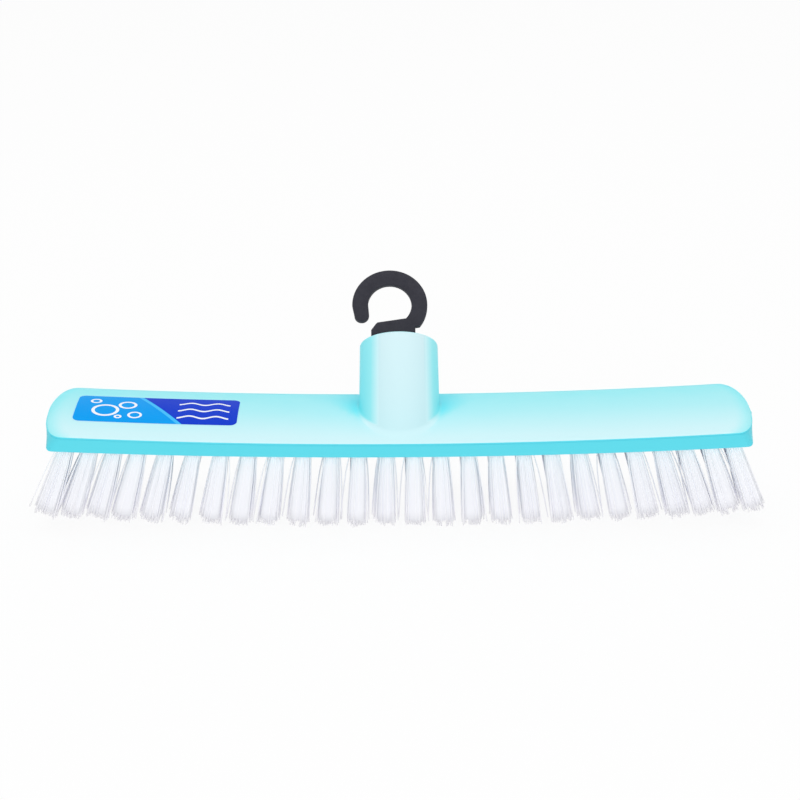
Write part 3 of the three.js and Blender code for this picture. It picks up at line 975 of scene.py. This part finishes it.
class Finish:
    """A node material with its Principled shader at hand."""

    def __init__(self, name):
        self.material = bpy.data.materials.new(name)
        self.material.use_nodes = True
        self.nodes = self.material.node_tree.nodes
        self.links = self.material.node_tree.links
        self.shader = self.nodes["Principled BSDF"]

    def add(self, kind, **settings):
        node = self.nodes.new(kind)
        for name, value in settings.items():
            setattr(node, name, value)
        return node

    def put(self, value, socket):
        """Links another node's output to a socket, or writes a plain value into it."""
        if isinstance(value, bpy.types.NodeSocket):
            self.links.new(value, socket)
        else:
            socket.default_value = value

    def set(self, name, value):
        self.put(value, self.shader.inputs[name])

    def math(self, operation, *values):
        node = self.add("ShaderNodeMath", operation=operation)
        for value, socket in zip(values, node.inputs):
            self.put(value, socket)
        return node.outputs[0]

    def mix(self, factor, first, second):
        """Mixes two colours: on this node, those are inputs 6 and 7 and output 2."""
        node = self.add("ShaderNodeMix", data_type="RGBA")
        self.put(factor, node.inputs["Factor"])
        self.put(first, node.inputs[6])
        self.put(second, node.inputs[7])
        return node.outputs[2]

    def tones(self, value, stops):
        """Colour at a value, between pairs of place and colour."""
        node = self.add("ShaderNodeValToRGB")
        elements = node.color_ramp.elements
        while len(elements) < len(stops):
            elements.new(0.5)
        for element, (place, colour) in zip(elements, stops):
            element.position = place
            element.color = colour
        self.links.new(value, node.inputs["Fac"])
        return node.outputs["Color"]

    def ramp(self, value, low, high, to_low, to_high):
        node = self.add("ShaderNodeMapRange")
        for place, item in enumerate((value, low, high, to_low, to_high)):
            self.put(item, node.inputs[place])
        return node.outputs[0]

    def noise(self, scale, detail):
        node = self.add("ShaderNodeTexNoise")
        node.inputs["Scale"].default_value = scale
        node.inputs["Detail"].default_value = detail
        self.links.new(self.add("ShaderNodeTexCoord").outputs["Object"], node.inputs["Vector"])
        return node.outputs["Fac"]

    def varied(self, scale, detail, low, high):
        """Value that wanders between a low and a high one over the surface."""
        return self.ramp(self.noise(scale, detail), NOISE_LOW, NOISE_HIGH, low, high)

    def grain(self, scale, detail, distance, strength):
        """Fine relief that is too small to model."""
        node = self.add("ShaderNodeBump")
        node.inputs["Strength"].default_value = strength
        node.inputs["Distance"].default_value = distance
        self.links.new(self.noise(scale, detail), node.inputs["Height"])
        self.set("Normal", node.outputs[0])

    def attribute(self, name):
        return self.add("ShaderNodeAttribute", attribute_name=name).outputs["Fac"]

    def blend(self, share, other):
        """Mixes another shader into the Principled one."""
        node = self.add("ShaderNodeMixShader")
        self.put(share, node.inputs["Fac"])
        self.links.new(self.shader.outputs[0], node.inputs[1])
        self.links.new(other.outputs[0], node.inputs[2])
        self.links.new(node.outputs[0], self.nodes["Material Output"].inputs["Surface"])

    def put_on(self, *pieces):
        for piece in pieces:
            piece.data.materials.append(self.material)
        print(self.material.name, "has", len(self.nodes), "nodes, pieces:", len(pieces))


# %% [markdown]
# The aqua plastic is satin polypropylene. Its painted light attribute paints it from a deep to a pale tone, it
# varies slightly as a real moulding does, and has the fine grain of a blasted mould as bump.

# %% Aqua plastic
# Colours of the painted light, from the deep tone of painted shade to the pale tone of painted light.
PAINTED_LIGHT_TONES = [
    (0.0, srgb(82, 209, 227)),
    (0.1, srgb(99, 235, 247)),
    (0.42, srgb(150, 237, 244)),
    (0.86, srgb(206, 242, 247)),
    (0.92, srgb(200, 236, 242)),
    (1.0, srgb(213, 238, 243)),
]

aqua = Finish("aqua_polypropylene")
painted_light_tone = aqua.tones(aqua.attribute("painted_light"), PAINTED_LIGHT_TONES)
drift = aqua.varied(scale=22, detail=3, low=0.0, high=0.05)
aqua.set("Base Color", aqua.mix(drift, painted_light_tone, srgb(140, 232, 242)))
aqua.set("Roughness", aqua.varied(scale=90, detail=2, low=0.4, high=0.5))
aqua.set("IOR", 1.49)
aqua.set("Specular IOR Level", 0.35)
aqua.grain(scale=2600, detail=2, distance=0.00002, strength=0.4)
aqua.put_on(block)

# %% [markdown]
# A bristle is clear-white polypropylene: cool near the block, as a painted reflection of the block's colour,
# warmer and whiter at the cut tips. Every filament has its own slight tone, so that a tuft reads as many hairs,
# and the core between them is deeper, as painted shade deep in the bundle.

# %% Bristle filament
DEEPEST_TONE_AND_SHADE = 0.32

bristle = Finish("bristle_filament")
# Painted reflection of the block's colour near the roots, whiter at the tips.
painted_reflection_tone = bristle.mix(bristle.attribute("along"), srgb(249, 252, 255), srgb(252, 251, 255))
# Random tone of the filaments and painted shade of the core, both towards a deeper colour.
tone_and_shade_share = bristle.ramp(bristle.attribute("tone_and_shade"), 0, 1, 0.0, DEEPEST_TONE_AND_SHADE)
bristle.set("Base Color", bristle.mix(tone_and_shade_share, painted_reflection_tone, srgb(224, 227, 240)))
bristle.set("Roughness", bristle.varied(scale=400, detail=1, low=0.38, high=0.5))
bristle.put_on(*bristle_pieces)

# %% [markdown]
# The hook is a harder plastic, black with a touch of blue. It is slightly mottled, and rougher than the block.

# %% Hook plastic
black = Finish("black_hook_plastic")
mottle = black.varied(scale=140, detail=3, low=0, high=1)
black.set("Base Color", black.mix(mottle, srgb(33, 33, 43), srgb(41, 41, 51)))
black.set("Roughness", black.varied(scale=700, detail=2, low=0.5, high=0.68))
black.set("Specular IOR Level", 0.3)
black.grain(scale=1800, detail=3, distance=0.00004, strength=0.6)
black.put_on(hook)

# %% [markdown]
# The sticker's print is a plain decoration of our own: a bright blue ground that turns to deep blue across a
# slanting edge, a few soap bubbles as rings, and wavy lines. An image would need a file of its own, so all of
# it is worked out from the place on the film, with a Mapping node that puts zero at the film's middle.

# %% Places on the film
print_film = Finish("printed_film")
film_calc = print_film.math
film_place = print_film.add("ShaderNodeMapping", vector_type="POINT")
film_middle = TO_FRAME @ Vector((STICKER_CENTRE, 0, 0))
film_place.inputs["Location"].default_value = (-film_middle.x, -film_middle.y, 0)
print_film.links.new(print_film.add("ShaderNodeTexCoord").outputs["Object"], film_place.inputs["Vector"])
split = print_film.add("ShaderNodeSeparateXYZ")
print_film.links.new(film_place.outputs[0], split.inputs[0])
film_x = film_calc("MULTIPLY", split.outputs[0], 1 / MILLIMETRE)
film_y = film_calc("MULTIPLY", split.outputs[1], 1 / MILLIMETRE)
print("the film's middle:", [round(v, 4) for v in film_middle])

# %% Rings and waves
Bubble = namedtuple("Bubble", "x y radius line")

BUBBLES = [
    Bubble(x=-22, y=-2.5, radius=5.2, line=0.7),
    Bubble(x=-13, y=3.5, radius=3.4, line=0.6),
    Bubble(x=-9, y=-6.5, radius=2.6, line=0.5),
    Bubble(x=-27, y=7, radius=2.0, line=0.5),
    Bubble(x=-16, y=-8.5, radius=1.2, line=0.45),
]
WAVE_HEIGHTS = (7.0, 0.0, -7.0)
WAVE_LINE = 0.65
WAVE_RATE = 0.55
WAVE_SWING = 1.1
WAVE_FROM = 9.0
WAVE_TO = 31.0


def distance_from(value, middle):
    return film_calc("ABSOLUTE", film_calc("SUBTRACT", value, middle))


def ring_of(bubble):
    """White ring of a soap bubble: 1 where the distance to its centre is close to its radius."""
    over_x = film_calc("SUBTRACT", film_x, bubble.x)
    over_y = film_calc("SUBTRACT", film_y, bubble.y)
    square = film_calc("ADD", film_calc("MULTIPLY", over_x, over_x), film_calc("MULTIPLY", over_y, over_y))
    return film_calc("LESS_THAN", distance_from(film_calc("SQRT", square), bubble.radius), bubble.line)


def wave_at(height):
    """White wavy line along the deep blue part."""
    swing = film_calc("SINE", film_calc("MULTIPLY", film_x, WAVE_RATE))
    middle = film_calc("MULTIPLY_ADD", swing, WAVE_SWING, height)
    on_line = film_calc("LESS_THAN", distance_from(film_y, middle), WAVE_LINE)
    after_start = film_calc("GREATER_THAN", film_x, WAVE_FROM)
    before_end = film_calc("LESS_THAN", film_x, WAVE_TO)
    return film_calc("MULTIPLY", on_line, film_calc("MULTIPLY", after_start, before_end))


marks = [ring_of(bubble) for bubble in BUBBLES] + [wave_at(height) for height in WAVE_HEIGHTS]
white_print = marks[0]
for mark in marks[1:]:
    white_print = film_calc("MAXIMUM", white_print, mark)
print(len(marks), "white marks on the film")

# %% Sticker print
SLANT = 0.7
DEEP_BLUE_FROM = 2.0
DEEP_BLUE_FULL = 2.3
STRIPE_MIDDLE = 1.0
STRIPE_HALF_WIDTH = 1.0

slanted = film_calc("ADD", film_x, film_calc("MULTIPLY", film_y, SLANT))
deep_part = print_film.ramp(slanted, DEEP_BLUE_FROM, DEEP_BLUE_FULL, 0, 1)
two_blues = print_film.mix(deep_part, srgb(0, 158, 242), srgb(14, 60, 204))
stripe = film_calc("LESS_THAN", distance_from(slanted, STRIPE_MIDDLE), STRIPE_HALF_WIDTH)
ground = print_film.mix(stripe, two_blues, srgb(70, 190, 250))
print_film.set("Base Color", print_film.mix(white_print, ground, srgb(244, 248, 252)))
print_film.set("Roughness", print_film.varied(scale=60, detail=2, low=0.28, high=0.36))
print_film.set("Specular IOR Level", 0.02)
print_film.grain(scale=180, detail=2, distance=0.00003, strength=0.4)
print_film.put_on(sticker)

# %% [markdown]
# ## Stage and light
#
# The photograph is a plain studio shot on a white light table. A bright even world does most of the lighting,
# and a large lamp overhead gives it a direction. A small lamp stands behind the camera, so that it lights the
# tufts that the camera sees between those of the front row. The table glows evenly, no brighter than white, so
# light reaches the tips of the inner tufts, and the object's shadow on the table is weak and soft. White fibres
# pass light on many times before they swallow it, so its paths may bounce more often than usual.

# %% Floor
FLOOR_RADIUS = 12
FLOOR_SIDES = 64
FLOOR_COLOUR = (0.92, 0.92, 0.92, 1)
FLOOR_OWN_WHITE = 0.9

floor_mesh = bmesh.new()
bmesh.ops.create_circle(floor_mesh, cap_ends=True, segments=FLOOR_SIDES, radius=FLOOR_RADIUS)
floor = object_from(floor_mesh, "floor")
white_floor = Finish("white_floor")
white_floor.set("Base Color", FLOOR_COLOUR)
white_floor.set("Roughness", 0.9)
white_floor.set("Specular IOR Level", 0.0)
white_floor.blend(FLOOR_OWN_WHITE, white_floor.add("ShaderNodeEmission"))
white_floor.put_on(floor)

# %% World
WORLD_LEVEL = 0.65

world = bpy.data.worlds.new("studio")
bpy.context.scene.world = world
world.use_nodes = True
world_nodes = world.node_tree.nodes
world_links = world.node_tree.links
background = world_nodes["Background"]
background.inputs["Color"].default_value = (1, 1, 1, 1)
rays = world_nodes.new("ShaderNodeLightPath")
seen = world_nodes.new("ShaderNodeMath")
seen.operation = "MAXIMUM"
world_links.new(rays.outputs["Is Camera Ray"], seen.inputs[0])
world_links.new(rays.outputs["Is Glossy Ray"], seen.inputs[1])
brightness = world_nodes.new("ShaderNodeMapRange")
brightness.inputs["To Min"].default_value = WORLD_LEVEL
brightness.inputs["To Max"].default_value = 1.0
world_links.new(seen.outputs[0], brightness.inputs["Value"])
world_links.new(brightness.outputs[0], background.inputs["Strength"])
print("the world lights at", WORLD_LEVEL, "and looks white")

# %% Lamps and bounces
LAMP_TARGET = Vector((0, 0, 0.04))
FIBRE_BOUNCES = 16
OTHER_BOUNCES = 4


def softbox(name, place, width, depth, watts):
    lamp = bpy.data.lights.new(name, "AREA")
    lamp.shape = "RECTANGLE"
    lamp.size = width
    lamp.size_y = depth
    lamp.energy = watts
    holder = bpy.data.objects.new(name, lamp)
    holder.location = place
    holder.rotation_euler = (LAMP_TARGET - Vector(place)).to_track_quat("-Z", "Y").to_euler()
    bpy.context.scene.collection.objects.link(holder)
    print(name, "lamp of", watts, "watts")


softbox("overhead", place=(0, 0.3, 1.5), width=1.6, depth=1.2, watts=7.6)
softbox("front", place=(0, -1.42, 0.62), width=0.5, depth=0.4, watts=5.6)
bpy.context.scene.cycles.diffuse_bounces = FIBRE_BOUNCES
bpy.context.scene.cycles.max_bounces = FIBRE_BOUNCES + OTHER_BOUNCES

# %% [markdown]
# ## Camera
#
# The camera stands where the photograph was taken from: a long lens, most of a metre away, looking down on the
# block. Its angles, distance and lens were fitted to the block's edges in the picture. The aim is the middle of
# the crown's edge, moved a little aside and up in the picture.

# %% Camera
CAMERA_TILT = math.radians(23.0592)
CAMERA_YAW = math.radians(0.6139)
CAMERA_ROLL = math.radians(0.1219)
CAMERA_DISTANCE = 802.91
CAMERA_ASIDE = 0.23
CAMERA_ABOVE = 7.857
FOCAL_PIXELS = 1857
PICTURE_PIXELS = 800

right = Vector((math.cos(CAMERA_YAW), -math.sin(CAMERA_YAW), 0))
forward = Vector((math.sin(CAMERA_YAW) * math.cos(CAMERA_TILT), math.cos(CAMERA_YAW) * math.cos(CAMERA_TILT),
                  -math.sin(CAMERA_TILT)))
up = right.cross(forward)
aim = Vector((0, 0, crown_edge_height(0))) + CAMERA_ASIDE * right + CAMERA_ABOVE * up
camera_right = right * math.cos(CAMERA_ROLL) - up * math.sin(CAMERA_ROLL)
camera_up = right * math.sin(CAMERA_ROLL) + up * math.cos(CAMERA_ROLL)
camera_turn = Matrix((camera_right, camera_up, -forward)).transposed().to_4x4()

lens = bpy.data.cameras.new("product_camera")
lens.sensor_width = 36
lens.lens = lens.sensor_width * (FOCAL_PIXELS / PICTURE_PIXELS)
camera = bpy.data.objects.new("product_camera", lens)
camera.matrix_world = Matrix.Translation(TO_FRAME @ (aim - CAMERA_DISTANCE * forward)) @ camera_turn
bpy.context.scene.collection.objects.link(camera)
bpy.context.scene.camera = camera
bpy.context.scene.view_settings.view_transform = "Standard"
print("lens:", round(lens.lens, 1), "mm")
